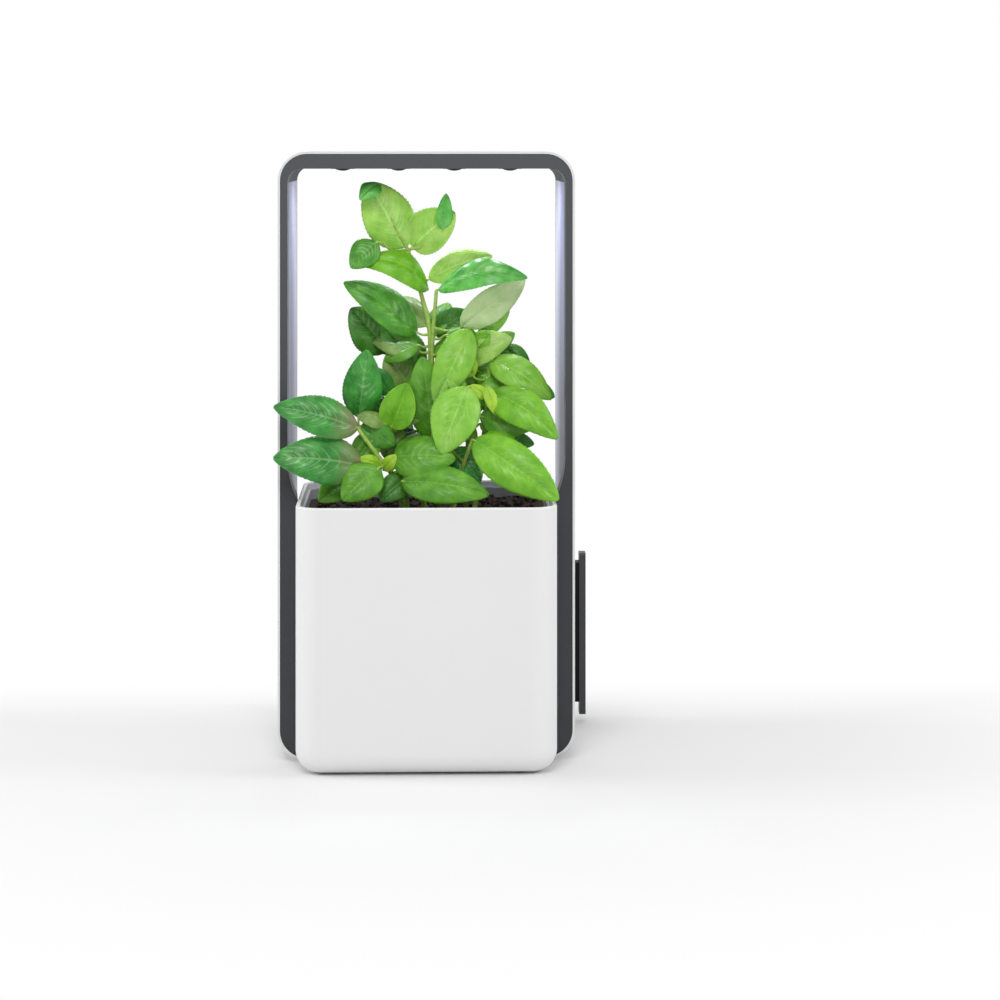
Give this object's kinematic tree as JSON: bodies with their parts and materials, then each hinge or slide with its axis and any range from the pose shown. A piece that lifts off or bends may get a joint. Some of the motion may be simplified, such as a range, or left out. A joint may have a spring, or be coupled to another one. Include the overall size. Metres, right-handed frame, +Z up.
{
  "type": "countertop hydroponic garden",
  "caption": "Upright lit arch over a pull-out planter of basil, with a rear pump bay, a side water tank with a bar grip, and a lamp across the top.",
  "frame": {"origin": "on the supporting surface, under the middle of the arch's footprint", "axes": "+X to the right seen from the front, the front faces -Y, +Z up"},
  "size_m": [0.2247, 0.199, 0.427],
  "materials": {
    "shell_white": "satin gloss",
    "bezel_grey": "fine matt",
    "liner_light": "matt",
    "housing_grey": "matt",
    "foot_rubber": "matt",
    "lens_dark": "clear gloss",
    "ring_dark": "satin",
    "led_yellow": "gloss",
    "board_green": "solder mask",
    "steel": "brushed",
    "tank_smoke": "smoked clear",
    "grip_black": "satin",
    "grip_grey": "fine matt",
    "tub_grey": "matt",
    "pot_black": "matt",
    "plug_fibre": "coarse",
    "wick_cotton": "woven",
    "soil": "crumbly",
    "leaf_green": "leaf",
    "float_foam": "foam",
    "lead_black": "matt",
    "motor_metal": "satin"
  },
  "bodies": {
    "frame": {"outer_shell": "shell_white", "front_bezel": "bezel_grey", "rear_bezel": "bezel_grey", "left_liner": "liner_light", "right_liner": "liner_light", "frame_floor": "housing_grey", "guide_rails": "housing_grey", "base_foot": "foot_rubber", "lamp_housing": "bezel_grey", "lamp_corners": "bezel_grey", "led_board": "board_green", "led_board_screws": "steel", "led_chips": "led_yellow", "led_lenses": "lens_dark", "led_lens_rings": "ring_dark", "lamp_lead": "lead_black", "rear_housing": "housing_grey", "rear_cover": "bezel_grey", "cover_screws": "steel", "control_board": "board_green", "control_posts": "housing_grey", "power_switch": "housing_grey", "power_inlet": "steel", "pump_housing": "housing_grey", "pump_motor": "motor_metal", "pump_lead": "lead_black", "feed_spout": "liner_light", "tank_rails": "housing_grey"},
    "planter": {"planter_shell": "shell_white", "planter_feet": "foot_rubber", "reservoir_liner": "tub_grey", "grow_deck": "tub_grey", "net_pots": "pot_black", "root_plugs": "plug_fibre", "wicks": "wick_cotton", "growing_medium": "soil", "float_guide": "tub_grey", "basil_plants": "leaf_green"},
    "float": {"water_float": "float_foam"},
    "tank": {"water_tank": "tank_smoke", "tank_outlet": "grip_black", "grip_neck": "grip_black", "grip_plate": "grip_grey"},
    "impeller": {"pump_impeller": "pot_black"},
    "button": {"power_button": "grip_grey"}
  },
  "joints": [
    {"name": "planter_slide", "type": "slide", "parent": "frame", "child": "planter", "axis": [0, -1, 0], "range_m": [0, 0.12]},
    {"name": "tank_slide", "type": "slide", "parent": "frame", "child": "tank", "axis": [1, 0, 0], "range_m": [0, 0.13]},
    {"name": "float_rise", "type": "slide", "parent": "planter", "child": "float", "axis": [0, 0, 1], "range_m": [0, 0.1]},
    {"name": "impeller_spin", "type": "hinge", "parent": "frame", "child": "impeller", "pos_m": [-0.037, 0.0555, 0.031], "axis": [1, 0, 0], "continuous": true},
    {"name": "button_press", "type": "slide", "parent": "frame", "child": "button", "axis": [0, -1, 0], "range_m": [0, 0.001], "stiffness_N_per_m": 400}
  ]
}
